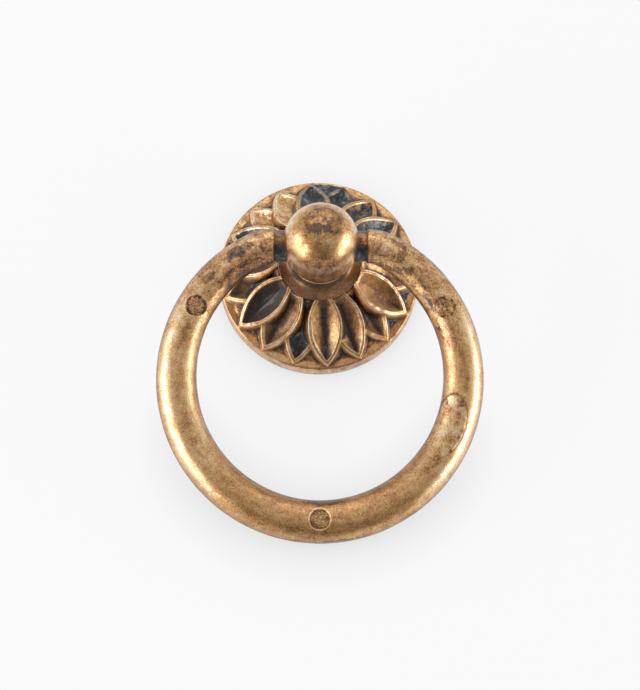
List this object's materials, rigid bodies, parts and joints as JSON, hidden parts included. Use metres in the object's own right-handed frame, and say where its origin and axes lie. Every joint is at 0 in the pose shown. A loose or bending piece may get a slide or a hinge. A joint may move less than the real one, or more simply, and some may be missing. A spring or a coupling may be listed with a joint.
{
  "type": "ring pull handle",
  "caption": "Aged brass drawer pull: a loose round-bar ring hung in a ball post with a flared foot, on a round domed rosette with overlapping petals.",
  "frame": {"origin": "centre of the mounting face at the mouth of the screw hole in the back", "axes": "+Z out of the drawer front along the post, the ring lies towards -Y, +X to the right along the ring's pivot"},
  "size_m": [0.0602, 0.0711, 0.0292],
  "materials": {
    "rosette_brass": "cast, aged, with dark patina in the petal troughs",
    "post_brass": "satin, aged, mottled",
    "ring_brass": "worn, aged, mottled"
  },
  "bodies": {
    "base": {"rosette": "rosette_brass", "ball_post": "post_brass"},
    "ring": {"ring": "ring_brass"}
  },
  "joints": [
    {"name": "ring_swing", "type": "hinge", "parent": "base", "child": "ring", "pos_m": [0, 0, 0.0192], "axis": [-1, 0, 0], "range_deg": [0, 214.8]}
  ]
}
